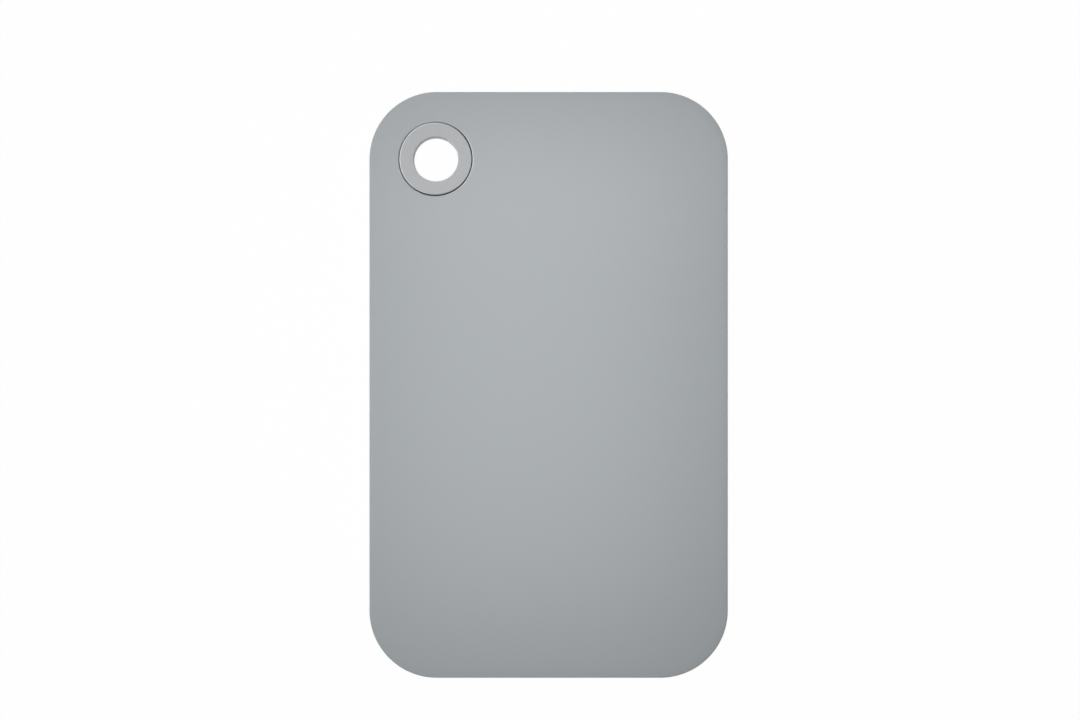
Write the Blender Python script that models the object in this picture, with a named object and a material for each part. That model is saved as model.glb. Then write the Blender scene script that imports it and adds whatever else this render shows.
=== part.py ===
"""Breakfast board: a moulded plastic panel with a soft hanging ring pressed into one corner.

Metres, +Z up. The board lies flat with its underside on z = 0 and its origin under the
centre of its outline. +Y runs along the length, and the ring sits in the -X, +Y corner.
The panel and the ring are the same on both faces, so the board can be used either way up.
"""

import math

import bmesh
import bpy

# Driving dimensions of the panel
BOARD_WIDTH = 0.150
BOARD_LENGTH = 0.245
BOARD_THICKNESS = 0.008
CORNER_RADIUS = 0.0282
BOARD_EDGE_FILLET = 0.0006
SEAT_MOUTH_FILLET = 0.0008
WEB_THICKNESS = 0.0032
SEAT_TO_SIDE = 0.0124
SEAT_TO_END = 0.0127

# Driving dimensions of the ring
RING_BORE_DIAMETER = 0.019
RING_NECK_WALL = 0.0025
RING_FLANGE_OVERHANG = 0.0031
RING_RIM_FILLET = 0.0008
RING_BORE_FILLET = 0.0008

# Clearances between the ring and the panel
FIT_GAP = 0.0003
RIM_GAP = 0.0003

# The ring, from its bore outwards, and the seat that takes it
BORE_RADIUS = RING_BORE_DIAMETER / 2
NECK_RADIUS = BORE_RADIUS + RING_NECK_WALL
FLANGE_RADIUS = NECK_RADIUS + RING_FLANGE_OVERHANG
WEB_HOLE_RADIUS = NECK_RADIUS + FIT_GAP
SEAT_RADIUS = FLANGE_RADIUS + RIM_GAP

# The web stands midway between the faces, with one seat above it and one below
SEAT_DEPTH = (BOARD_THICKNESS - WEB_THICKNESS) / 2
FLANGE_THICKNESS = SEAT_DEPTH - FIT_GAP
LOWER_WEB_Z = SEAT_DEPTH
UPPER_WEB_Z = BOARD_THICKNESS - SEAT_DEPTH

# The seat stands in from the board's side and end, so that the ring is all but concentric
# with its corner
RING_X = -(BOARD_WIDTH / 2 - SEAT_RADIUS - SEAT_TO_SIDE)
RING_Y = BOARD_LENGTH / 2 - SEAT_RADIUS - SEAT_TO_END

# A fillet takes up less than half of the wall that it rounds
FILLET_SHARE = 0.45

# Facets of the round shapes
CORNER_STEPS = 18
ROUND_STEPS = 4 * CORNER_STEPS
FILLET_STEPS = 3

# How far the seat's cutter stands out of the panel
CUTTER_MARGIN = 0.002

# Finishes, as linear colours
BOARD_GREY = (0.37, 0.40, 0.42)
BOARD_ROUGHNESS = 0.42
RING_GREY = (0.47, 0.475, 0.48)
RING_ROUGHNESS = 0.6
SHARP_EDGE_ANGLE = math.radians(35)


def clear_scene():
    """Remove whatever the file opened with."""
    for item in list(bpy.data.objects):
        bpy.data.objects.remove(item, do_unlink=True)


def make_plastic(name, colour, roughness):
    """A plain moulded plastic or silicone, with no metal in it."""
    material = bpy.data.materials.new(name)
    material.use_nodes = True
    shader = material.node_tree.nodes["Principled BSDF"]
    shader.inputs["Base Color"].default_value = (*colour, 1.0)
    shader.inputs["Roughness"].default_value = roughness
    shader.inputs["Metallic"].default_value = 0.0
    return material


def add_object(name, bm, parent, material=None):
    """Turn a finished bmesh into an object under its parent, shaded smooth between its edges."""
    bmesh.ops.recalc_face_normals(bm, faces=bm.faces[:])
    mesh = bpy.data.meshes.new(name)
    bm.to_mesh(mesh)
    bm.free()
    mesh.shade_smooth()
    mesh.set_sharp_from_angle(angle=SHARP_EDGE_ANGLE)
    if material:
        mesh.materials.append(material)
    item = bpy.data.objects.new(name, mesh)
    item.parent = parent
    bpy.context.scene.collection.objects.link(item)
    return item


def fitted_fillet(wanted, wall):
    """The wanted fillet, or the largest one that the wall has room for."""
    return min(wanted, wall * FILLET_SHARE)


def fillet_steps(radius):
    """(inset, drop) pairs round a quarter fillet, from the side wall up to the face."""
    pairs = []
    for step in range(FILLET_STEPS + 1):
        angle = math.pi / 2 * step / FILLET_STEPS
        pairs.append((radius * (1 - math.cos(angle)), radius * (1 - math.sin(angle))))
    return pairs


def rounded_rectangle(width, length, radius, z):
    """Points round a rectangle with round corners, at one height."""
    points = []
    for quarter, (side_x, side_y) in enumerate(((1, 1), (-1, 1), (-1, -1), (1, -1))):
        centre_x = side_x * (width / 2 - radius)
        centre_y = side_y * (length / 2 - radius)
        for step in range(CORNER_STEPS + 1):
            angle = math.pi / 2 * (quarter + step / CORNER_STEPS)
            x = centre_x + radius * math.cos(angle)
            y = centre_y + radius * math.sin(angle)
            points.append((x, y, z))
    return points


def circle(radius, z):
    """Points round a circle about the Z axis, at one height."""
    points = []
    for step in range(ROUND_STEPS):
        angle = 2 * math.pi * step / ROUND_STEPS
        points.append((radius * math.cos(angle), radius * math.sin(angle), z))
    return points


def lofted(loops):
    """A closed bmesh through loops of points, from the lowest to the highest, with flat ends."""
    bm = bmesh.new()
    rows = [[bm.verts.new(point) for point in loop] for loop in loops]
    for lower, upper in zip(rows, rows[1:]):
        for index in range(len(lower)):
            corners = (lower[index - 1], lower[index], upper[index], upper[index - 1])
            bm.faces.new(corners)
    bm.faces.new(rows[0])
    bm.faces.new(rows[-1])
    return bm


def turned(profile):
    """A closed bmesh spun about the Z axis from a closed profile of (radius, z) points."""
    bm = bmesh.new()
    verts = [bm.verts.new((radius, 0.0, z)) for radius, z in profile]
    edges = [bm.edges.new((verts[index - 1], verts[index])) for index in range(len(verts))]
    bmesh.ops.spin(
        bm,
        geom=verts + edges,
        axis=(0.0, 0.0, 1.0),
        angle=2 * math.pi,
        steps=ROUND_STEPS,
        use_merge=True,
    )
    return bm


def panel_slab(parent, material):
    """The solid slab, with its fillets along both edges of its side."""
    fillet = fillet_steps(fitted_fillet(BOARD_EDGE_FILLET, BOARD_THICKNESS))
    lower_edge = list(reversed(fillet))
    upper_edge = [(inset, BOARD_THICKNESS - drop) for inset, drop in fillet]
    loops = []
    for inset, z in lower_edge + upper_edge:
        width = BOARD_WIDTH - 2 * inset
        length = BOARD_LENGTH - 2 * inset
        loops.append(rounded_rectangle(width, length, CORNER_RADIUS - inset, z))
    return add_object("board_panel", lofted(loops), parent, material)


def seat_cutter(parent):
    """The stepped hole: a seat with a round mouth in each face, and the web's hole between."""
    fillet = fillet_steps(fitted_fillet(SEAT_MOUTH_FILLET, SEAT_DEPTH))
    mouth_radius = SEAT_RADIUS + fillet[-1][0]
    lower_half = [(mouth_radius, -CUTTER_MARGIN)]
    lower_half += [(SEAT_RADIUS + inset, drop) for inset, drop in reversed(fillet)]
    lower_half += [(SEAT_RADIUS, LOWER_WEB_Z), (WEB_HOLE_RADIUS, LOWER_WEB_Z)]
    upper_half = [(radius, BOARD_THICKNESS - z) for radius, z in reversed(lower_half)]
    loops = [circle(radius, z) for radius, z in lower_half + upper_half]
    cutter = add_object("seat_cutter", lofted(loops), parent)
    cutter.location = (RING_X, RING_Y, 0.0)
    cutter.hide_render = True
    cutter.display_type = "WIRE"
    return cutter


def board_panel(parent, material):
    """The moulded panel with the ring's stepped hole through its corner."""
    panel = panel_slab(parent, material)
    cut = panel.modifiers.new("ring seat", "BOOLEAN")
    cut.operation = "DIFFERENCE"
    cut.solver = "EXACT"
    cut.object = seat_cutter(parent)
    return panel


def hanging_ring(parent, material):
    """The soft one-piece ring: a neck through the web, and a flange in each seat."""
    bore_fillet = fillet_steps(fitted_fillet(RING_BORE_FILLET, RING_NECK_WALL))
    rim_fillet = fillet_steps(fitted_fillet(RING_RIM_FILLET, FLANGE_THICKNESS))
    lower_half = [(BORE_RADIUS + inset, drop) for inset, drop in bore_fillet]
    lower_half += [(FLANGE_RADIUS - inset, drop) for inset, drop in reversed(rim_fillet)]
    lower_half += [(FLANGE_RADIUS, FLANGE_THICKNESS), (NECK_RADIUS, FLANGE_THICKNESS)]
    upper_half = [(radius, BOARD_THICKNESS - z) for radius, z in reversed(lower_half)]
    ring = add_object("hanging_ring", turned(lower_half + upper_half), parent, material)
    ring.location = (RING_X, RING_Y, 0.0)
    return ring


def build_board():
    """The whole board, under one empty at its origin."""
    clear_scene()
    base = bpy.data.objects.new("breakfast_board", None)
    bpy.context.scene.collection.objects.link(base)
    board_panel(base, make_plastic("board_plastic", BOARD_GREY, BOARD_ROUGHNESS))
    hanging_ring(base, make_plastic("ring_silicone", RING_GREY, RING_ROUGHNESS))


build_board()
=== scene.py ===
"""Looks of the breakfast board: a satin moulded panel and the soft ring in its corner.

Metres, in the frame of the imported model. The board lies on z = 0, +Y runs along its length
and the ring sits in the -X, +Y corner. The camera looks straight down on the board.
"""

import math

import bmesh
import bpy
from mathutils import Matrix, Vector


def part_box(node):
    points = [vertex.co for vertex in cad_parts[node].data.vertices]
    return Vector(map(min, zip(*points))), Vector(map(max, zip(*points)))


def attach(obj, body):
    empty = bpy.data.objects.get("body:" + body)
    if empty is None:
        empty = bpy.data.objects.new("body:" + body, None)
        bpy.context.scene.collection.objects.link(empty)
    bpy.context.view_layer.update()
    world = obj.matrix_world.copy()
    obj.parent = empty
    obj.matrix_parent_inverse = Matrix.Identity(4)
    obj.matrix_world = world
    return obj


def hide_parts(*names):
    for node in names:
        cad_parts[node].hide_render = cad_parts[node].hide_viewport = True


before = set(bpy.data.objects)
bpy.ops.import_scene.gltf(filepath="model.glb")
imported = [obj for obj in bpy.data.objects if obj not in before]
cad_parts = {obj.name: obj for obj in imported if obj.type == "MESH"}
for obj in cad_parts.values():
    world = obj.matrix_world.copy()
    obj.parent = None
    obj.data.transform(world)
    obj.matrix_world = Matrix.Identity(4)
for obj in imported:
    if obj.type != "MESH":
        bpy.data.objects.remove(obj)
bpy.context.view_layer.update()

# The panel and the ring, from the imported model's boxes
PANEL_LOW, PANEL_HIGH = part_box("board_panel")
RING_LOW, RING_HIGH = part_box("hanging_ring")
THICKNESS = PANEL_HIGH.z - PANEL_LOW.z
HALF_THICKNESS = THICKNESS / 2
RING_X = (RING_LOW.x + RING_HIGH.x) / 2
RING_Y = (RING_LOW.y + RING_HIGH.y) / 2
RIM_RADIUS = (RING_HIGH.x - RING_LOW.x) / 2

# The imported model's corner radius, which its boxes don't tell
CORNER_RADIUS = 0.0282

# The stepped hole and the ring's section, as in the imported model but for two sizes: the gap
# round the rim is a little narrower here, and the bore a little smaller
RIM_GAP = 0.00027
NECK_GAP = 0.0003
SEAT_RADIUS = RIM_RADIUS + RIM_GAP
SEAT_DEPTH = 0.0024
NECK_RADIUS = 0.012
WEB_HOLE_RADIUS = NECK_RADIUS + NECK_GAP
BORE_RADIUS = 0.0093
FLANGE_THICKNESS = 0.0021

# Moulded edges: a face rolls off softly by its drop before its fillet turns down into the wall
PANEL_EDGE = {"fillet": 0.0002, "roll": 0.0042, "drop": 0.00005}
SEAT_EDGE = {"fillet": 0.0006, "roll": 0.0006, "drop": 0.00001}
RIM_EDGE = {"fillet": 0.0005, "roll": 0.0006, "drop": 0.00001}
BORE_EDGE = {"fillet": 0.00025, "roll": 0.0006, "drop": 0.00001}
HIDDEN_FILLET = 0.0002

# The side wall: a little draft away from the parting line, which stands proud as a fine bead
SIDE_DRAFT = 0.00006
BEAD_HEIGHT = 0.00003
BEAD_WIDTH = 0.0003

# The soft rim isn't quite round: it is a little large, stands off to one side, and has three
# faint lobes, as (how far it swells, how many times round, towards which angle)
RIM_SWELLS = (
    (0.00005, 0, 0.0),
    (0.00013, 1, math.radians(115)),
    (0.00007, 3, math.radians(100)),
)

# The soft ring was pressed in a little askew: how far its rim stands up, and towards which side
RING_LEAN = 0.0002
LEAN_TOWARDS = math.radians(160)

# Painted shade: both pieces' colour is darkened with depth down in the joint between them, in
# place of the joint's deep shadow
JOINT_PAINTED_SHADE = (0.035, 0.032, 0.028)
JOINT_SHADE_FROM = 0.0002
JOINT_SHADE_TO = 0.0006

# A moulded finish: how much the clouds and the grain each tell in its colour, how fine their
# detail is, and how far the clouds roughen it
CLOUD_SHARE = 0.6
GRAIN_SHARE = 1 - CLOUD_SHARE
CLOUD_DETAIL = 3.0
GRAIN_DETAIL = 2.0
ROUGHNESS_SWING = 0.04

# The Mix node's colour sockets by number, because its other sockets bear the same names
MIX_FIRST_COLOUR = 6
MIX_SECOND_COLOUR = 7
MIX_COLOUR_OUT = 2

# Steps round the shapes
CORNER_STEPS = 48
RING_STEPS = 192
ROLL_STEPS = 8
FILLET_STEPS = 8

# Camera: straight above the board, with the photograph's framing
CAMERA_X = -0.00358
CAMERA_Y = 0.0104
CAMERA_HEIGHT = 0.9
PICTURE_WIDTH = 0.4513
SENSOR_WIDTH = 36.0

# Studio: a wide floor a hair under the board, and even pale surroundings
FLOOR_HALF_WIDTH = 4.0
FLOOR_GAP = 0.0003
FLOOR_GLOW = 0.985
PAPER_WHITE = 0.85
EVEN_LIGHT = 0.08
WHITE = (1.0, 1.0, 1.0, 1.0)

# Low softboxes round the board, which face its middle
BOARD_MIDDLE = (0.0, 0.0, 0.0)
WALL_DISTANCE = 2.0
WALL_ELEVATION = math.radians(5.5)
WALL_WIDTH = 0.6
WALL_LENGTH = 0.26


def edge_profile(fillet, roll, drop):
    """(inset, drop) pairs from the flat face out to the wall: a soft roll-off, then a fillet."""
    lean = math.atan(2 * drop / roll)
    pairs = []
    for step in range(ROLL_STEPS):
        share = step / ROLL_STEPS
        inset = fillet * (1 - math.sin(lean)) + roll * (1 - share)
        pairs.append((inset, drop * share ** 2))
    for step in range(FILLET_STEPS + 1):
        angle = lean + (math.pi / 2 - lean) * step / FILLET_STEPS
        fall = drop + fillet * (math.cos(lean) - math.cos(angle))
        pairs.append((fillet * (1 - math.sin(angle)), fall))
    return pairs


def quarter_turn(radius, start):
    """(across, along) pairs round a quarter of a circle, from one wall to the next."""
    pairs = []
    for step in range(FILLET_STEPS + 1):
        angle = start + math.pi / 2 * step / FILLET_STEPS
        pairs.append((radius * math.cos(angle), radius * math.sin(angle)))
    return pairs


def both_faces(half):
    """A half profile of (place, drop), face to mid-height, as (place, z) down both halves."""
    upper = [(place, THICKNESS - drop) for place, drop in half]
    lower = [(place, drop) for place, drop in reversed(half)]
    if half[-1][1] == HALF_THICKNESS:
        lower = lower[1:]
    return upper + lower


def outline_row(bm, inset, z):
    """Vertices round the panel's outline, drawn in by the inset, at one height."""
    radius = CORNER_RADIUS - inset
    row = []
    for quarter, (side_x, side_y) in enumerate(((1, 1), (-1, 1), (-1, -1), (1, -1))):
        centre_x = side_x * (PANEL_HIGH.x - CORNER_RADIUS)
        centre_y = side_y * (PANEL_HIGH.y - CORNER_RADIUS)
        for step in range(CORNER_STEPS + 1):
            angle = math.pi / 2 * (quarter + step / CORNER_STEPS)
            x = centre_x + radius * math.cos(angle)
            y = centre_y + radius * math.sin(angle)
            row.append(bm.verts.new((x, y, z)))
    return row


def turned_rows(bm, profile_at):
    """Rows of vertices round the ring's axis, from the profile of (radius, z) at each angle."""
    columns = []
    for step in range(RING_STEPS):
        angle = 2 * math.pi * step / RING_STEPS
        column = []
        for radius, z in profile_at(angle):
            x = RING_X + radius * math.cos(angle)
            y = RING_Y + radius * math.sin(angle)
            column.append(bm.verts.new((x, y, z)))
        columns.append(column)
    return list(zip(*columns))


def bridge(bm, rows, closed=False):
    """Faces between each row and the next, and from the last row to the first if closed."""
    following = rows[1:] + rows[:1] if closed else rows[1:]
    for near, far in zip(rows, following):
        for index in range(len(near)):
            bm.faces.new((near[index - 1], near[index], far[index], far[index - 1]))


def fill_between(bm, outer, inner):
    """The flat face between two rows at one height."""
    edges = []
    for row in (outer, inner):
        for index in range(len(row)):
            edges.append(bm.edges.get((row[index - 1], row[index])))
    bmesh.ops.triangle_fill(bm, use_beauty=True, edges=edges)


def finish_mesh(name, bm, material):
    """Turn a bmesh into a smooth piece of the scene."""
    bmesh.ops.recalc_face_normals(bm, faces=bm.faces[:])
    mesh = bpy.data.meshes.new(name)
    bm.to_mesh(mesh)
    bm.free()
    mesh.shade_smooth()
    mesh.materials.append(material)
    piece = bpy.data.objects.new(name, mesh)
    bpy.context.scene.collection.objects.link(piece)
    return piece


def panel_side_profile():
    """(inset, z) down the side: a rolled edge, a little draft, the parting bead, and back."""
    half = []
    for inset, drop in edge_profile(**PANEL_EDGE):
        half.append((inset + SIDE_DRAFT + BEAD_HEIGHT, drop))
    half.append((BEAD_HEIGHT, HALF_THICKNESS - BEAD_WIDTH / 2))
    half.append((0.0, HALF_THICKNESS))
    return both_faces(half)


def seat_profile(angle):
    """(radius, z) down through the ring's seat and the web's hole, the same all round."""
    half = [(SEAT_RADIUS + inset, drop) for inset, drop in edge_profile(**SEAT_EDGE)]
    corner = SEAT_RADIUS - HIDDEN_FILLET
    for across, along in quarter_turn(HIDDEN_FILLET, 0.0):
        half.append((corner + across, SEAT_DEPTH - HIDDEN_FILLET + along))
    lip = WEB_HOLE_RADIUS + HIDDEN_FILLET
    for across, along in reversed(quarter_turn(HIDDEN_FILLET, math.pi)):
        half.append((lip + across, SEAT_DEPTH + HIDDEN_FILLET + along))
    return both_faces(half)


def make_panel(material):
    """The moulded panel, with its stepped hole."""
    bm = bmesh.new()
    side = [outline_row(bm, inset, z) for inset, z in panel_side_profile()]
    seat = turned_rows(bm, seat_profile)
    bridge(bm, side)
    bridge(bm, seat)
    fill_between(bm, side[0], seat[0])
    fill_between(bm, side[-1], seat[-1])
    return finish_mesh("panel_moulding", bm, material)


def rim_radius(angle):
    """The soft rim's radius towards one angle."""
    radius = RIM_RADIUS
    for swell, times, towards in RIM_SWELLS:
        radius += swell * math.cos(times * (angle - towards))
    return radius


def ring_profile(angle):
    """(radius, z) round the ring's section at one angle: neck, flange, bore and flange."""
    rim = rim_radius(angle)
    half = [(NECK_RADIUS, FLANGE_THICKNESS), (rim, FLANGE_THICKNESS)]
    half += [(rim - inset, drop) for inset, drop in reversed(edge_profile(**RIM_EDGE))]
    half += [(BORE_RADIUS + inset, drop) for inset, drop in edge_profile(**BORE_EDGE)]
    half.append((BORE_RADIUS, HALF_THICKNESS))
    slope = RING_LEAN / RIM_RADIUS * math.cos(angle - LEAN_TOWARDS)
    return [(radius, z + radius * slope) for radius, z in both_faces(half)]


def make_ring(material):
    """The soft ring: a neck through the web, and a flange in each seat."""
    bm = bmesh.new()
    bridge(bm, turned_rows(bm, ring_profile), closed=True)
    return finish_mesh("soft_ring", bm, material)


class Value:
    """A shader socket that takes part in Python expressions: each operator adds a Math node."""

    def __init__(self, recipe, socket):
        self.recipe = recipe
        self.socket = socket

    def maths(self, operation, first, second):
        return self.recipe.node("ShaderNodeMath", {"operation": operation}, {0: first, 1: second})

    def __add__(self, other):
        return self.maths("ADD", self, other)

    def __mul__(self, other):
        return self.maths("MULTIPLY", self, other)

    def __sub__(self, other):
        return self.maths("SUBTRACT", self, other)

    def __rsub__(self, other):
        return self.maths("SUBTRACT", other, self)

    def __abs__(self):
        return self.recipe.node("ShaderNodeMath", {"operation": "ABSOLUTE"}, {0: self})

    __radd__ = __add__
    __rmul__ = __mul__


class Recipe:
    """The shader nodes of a material or of the world, which its one method adds."""

    def __init__(self, owner):
        owner.use_nodes = True
        self.owner = owner
        self.tree = owner.node_tree
        self.tree.nodes.clear()

    def node(self, kind, settings=None, sockets=None, output=0):
        """Add a node: its settings first, then its sockets' values or links. Returns an output."""
        node = self.tree.nodes.new(kind)
        for key, value in (settings or {}).items():
            setattr(node, key, value)
        for key, value in (sockets or {}).items():
            if isinstance(value, Value):
                self.tree.links.new(value.socket, node.inputs[key])
            else:
                node.inputs[key].default_value = value
        return Value(self, node.outputs[output]) if node.outputs else None


def noise(recipe, place, scale, detail):
    """Soft noise from 0 to 1, with so many features to the metre."""
    sockets = {"Vector": place, "Scale": scale, "Detail": detail}
    return recipe.node("ShaderNodeTexNoise", None, sockets)


def tint(recipe, share, first, second):
    """A colour that runs from the first to the second as the share runs from 0 to 1."""
    sockets = {"Factor": share, MIX_FIRST_COLOUR: first, MIX_SECOND_COLOUR: second}
    return recipe.node("ShaderNodeMix", {"data_type": "RGBA"}, sockets, MIX_COLOUR_OUT)


def ramp(recipe, value, start, end):
    """0 up to the start and 1 past the end, with a smooth climb between them."""
    sockets = {"Value": value, "From Min": start, "From Max": end}
    return recipe.node("ShaderNodeMapRange", {"interpolation_type": "SMOOTHSTEP"}, sockets)


def painted_joint_shade(recipe, place):
    """Where shade is painted: 1 down in the joint between the ring's rim and its seat, and 0 on
    the open surfaces.
    """
    flatten = {0: place, 1: (1.0, 1.0, 0.0)}
    flat = recipe.node("ShaderNodeVectorMath", {"operation": "MULTIPLY"}, flatten)
    from_axis = {0: flat, 1: (RING_X, RING_Y, 0.0)}
    radius = recipe.node("ShaderNodeVectorMath", {"operation": "DISTANCE"}, from_axis, "Value")
    height = recipe.node("ShaderNodeSeparateXYZ", None, {"Vector": place}, "Z")
    depth = HALF_THICKNESS - abs(height - HALF_THICKNESS)
    deep = ramp(recipe, depth, JOINT_SHADE_FROM, JOINT_SHADE_TO)
    near = ramp(recipe, radius, NECK_RADIUS, RIM_RADIUS - RIM_GAP)
    past = ramp(recipe, radius, SEAT_RADIUS + RIM_GAP, SEAT_RADIUS + 2 * RIM_GAP)
    return deep * near * (1 - past)


def moulded(name, low, high, roughness, gloss, cloud_scale, grain_scale, grain_depth):
    """A moulded finish: a faintly clouded colour under a fine, even grain, with painted shade
    darkening the colour down in the ring's joint.
    """
    recipe = Recipe(bpy.data.materials.new(name))
    place = recipe.node("ShaderNodeTexCoord", output="Object")
    cloud = noise(recipe, place, cloud_scale, CLOUD_DETAIL)
    grain = noise(recipe, place, grain_scale, GRAIN_DETAIL)
    paleness = cloud * CLOUD_SHARE + grain * GRAIN_SHARE
    plain = tint(recipe, paleness, (*low, 1.0), (*high, 1.0))
    relief = {"Height": grain, "Strength": 1.0, "Distance": grain_depth}
    sockets = {
        # The colour is darkened by painted shade down in the joint round the ring
        "Base Color": tint(recipe, painted_joint_shade(recipe, place), plain, (*JOINT_PAINTED_SHADE, 1.0)),
        "Roughness": cloud * ROUGHNESS_SWING + roughness,
        "Normal": recipe.node("ShaderNodeBump", None, relief),
        "Specular IOR Level": gloss,
    }
    surface = recipe.node("ShaderNodeBsdfPrincipled", None, sockets)
    recipe.node("ShaderNodeOutputMaterial", None, {"Surface": surface})
    return recipe.owner


def board_plastic():
    """Satin moulded plastic of a cool mid grey."""
    return moulded(
        "board_plastic",
        low=(0.366, 0.393, 0.413),
        high=(0.378, 0.405, 0.425),
        roughness=0.34,
        gloss=0.5,
        cloud_scale=24.0,
        grain_scale=2600.0,
        grain_depth=0.000002,
    )


def ring_silicone():
    """Soft matt silicone, paler than the board."""
    return moulded(
        "ring_silicone",
        low=(0.512, 0.524, 0.537),
        high=(0.529, 0.541, 0.554),
        roughness=0.65,
        gloss=0.4,
        cloud_scale=160.0,
        grain_scale=5200.0,
        grain_depth=0.000002,
    )


def seen(recipe):
    """1 for a ray that shows the surroundings, direct or in a gloss, and 0 for their light."""
    camera_ray = recipe.node("ShaderNodeLightPath", output="Is Camera Ray")
    glossy_ray = recipe.node("ShaderNodeLightPath", output="Is Glossy Ray")
    transmission_ray = recipe.node("ShaderNodeLightPath", output="Is Transmission Ray")
    return camera_ray + glossy_ray + transmission_ray


def white_floor():
    """White paper that shows a clean white, with the board's shadow faint on it."""
    recipe = Recipe(bpy.data.materials.new("white_floor"))
    paper_colour = (PAPER_WHITE, PAPER_WHITE, PAPER_WHITE, 1.0)
    paper = recipe.node("ShaderNodeBsdfDiffuse", None, {"Color": paper_colour})
    glow = recipe.node("ShaderNodeEmission", None, {"Color": WHITE, "Strength": 1.0})
    sockets = {"Fac": seen(recipe) * FLOOR_GLOW, 1: paper, 2: glow}
    surface = recipe.node("ShaderNodeMixShader", None, sockets)
    recipe.node("ShaderNodeOutputMaterial", None, {"Surface": surface})
    return recipe.owner


def make_floor():
    """A wide plain floor, a hair under the board."""
    bm = bmesh.new()
    corners = []
    for side_x, side_y in ((-1, -1), (1, -1), (1, 1), (-1, 1)):
        place = (side_x * FLOOR_HALF_WIDTH, side_y * FLOOR_HALF_WIDTH, -FLOOR_GAP)
        corners.append(bm.verts.new(place))
    bm.faces.new(corners)
    finish_mesh("floor", bm, white_floor())


def light_world():
    """Even pale surroundings, which show white."""
    recipe = Recipe(bpy.data.worlds.new("studio"))
    light = recipe.node("ShaderNodeBackground", None, {"Color": WHITE, "Strength": EVEN_LIGHT})
    white = recipe.node("ShaderNodeBackground", None, {"Color": WHITE, "Strength": 1.0})
    surface = recipe.node("ShaderNodeMixShader", None, {"Fac": seen(recipe), 1: light, 2: white})
    recipe.node("ShaderNodeOutputWorld", None, {"Surface": surface})
    bpy.context.scene.world = recipe.owner


def add_softbox(name, place, aim, width, length, power):
    """A rectangular softbox that shines from its place towards its aim."""
    lamp = bpy.data.lights.new(name, "AREA")
    lamp.shape = "RECTANGLE"
    lamp.size = width
    lamp.size_y = length
    lamp.energy = power
    box = bpy.data.objects.new(name, lamp)
    box.location = place
    box.rotation_euler = (Vector(aim) - Vector(place)).to_track_quat("-Z", "Y").to_euler()
    box.visible_camera = False
    bpy.context.scene.collection.objects.link(box)
    return box


def add_wall_light(name, azimuth, power):
    """A low softbox beside the board: it lights the edges, and leaves no glare on the face."""
    around = math.radians(azimuth)
    reach = WALL_DISTANCE * math.cos(WALL_ELEVATION)
    height = WALL_DISTANCE * math.sin(WALL_ELEVATION)
    place = (reach * math.cos(around), reach * math.sin(around), height)
    box = add_softbox(name, place, BOARD_MIDDLE, WALL_WIDTH, WALL_LENGTH, power)
    box.visible_glossy = False


def light_board():
    """Softboxes over the board and low round it, and a card that shows only in its gloss."""
    add_softbox(
        "overhead",
        place=(-0.012, -0.012, 0.25),
        aim=(-0.012, -0.012, 0.0),
        width=0.18,
        length=0.25,
        power=0.339,
    )
    add_softbox(
        "head_end",
        place=(0.0, 0.12, 0.29),
        aim=(0.0, 0.12, 0.0),
        width=0.22,
        length=0.04,
        power=0.175,
    )
    add_wall_light("left_wall", azimuth=169, power=48.0)
    add_wall_light("right_wall", azimuth=-9, power=2.0)
    add_wall_light("head_wall", azimuth=90, power=14.0)
    add_wall_light("foot_wall", azimuth=-90, power=1.5)
    card = add_softbox(
        "left_card",
        place=(-0.80, 0.16, 0.57),
        aim=BOARD_MIDDLE,
        width=0.8,
        length=0.6,
        power=8.0,
    )
    card.visible_diffuse = False


def add_camera():
    """A camera straight above, whose picture spans the photograph's width at the upper face."""
    data = bpy.data.cameras.new("camera")
    data.sensor_width = SENSOR_WIDTH
    data.lens = SENSOR_WIDTH * CAMERA_HEIGHT / PICTURE_WIDTH
    camera = bpy.data.objects.new("camera", data)
    camera.location = (CAMERA_X, CAMERA_Y, PANEL_HIGH.z + CAMERA_HEIGHT)
    bpy.context.scene.collection.objects.link(camera)
    bpy.context.scene.camera = camera


def add_piece(piece, node):
    """Let a piece ride on the board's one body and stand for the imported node."""
    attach(piece, "root")
    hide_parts(node)


add_camera()
light_world()
light_board()
make_floor()
add_piece(make_panel(board_plastic()), "board_panel")
add_piece(make_ring(ring_silicone()), "hanging_ring")
bpy.context.scene.view_settings.view_transform = "Standard"
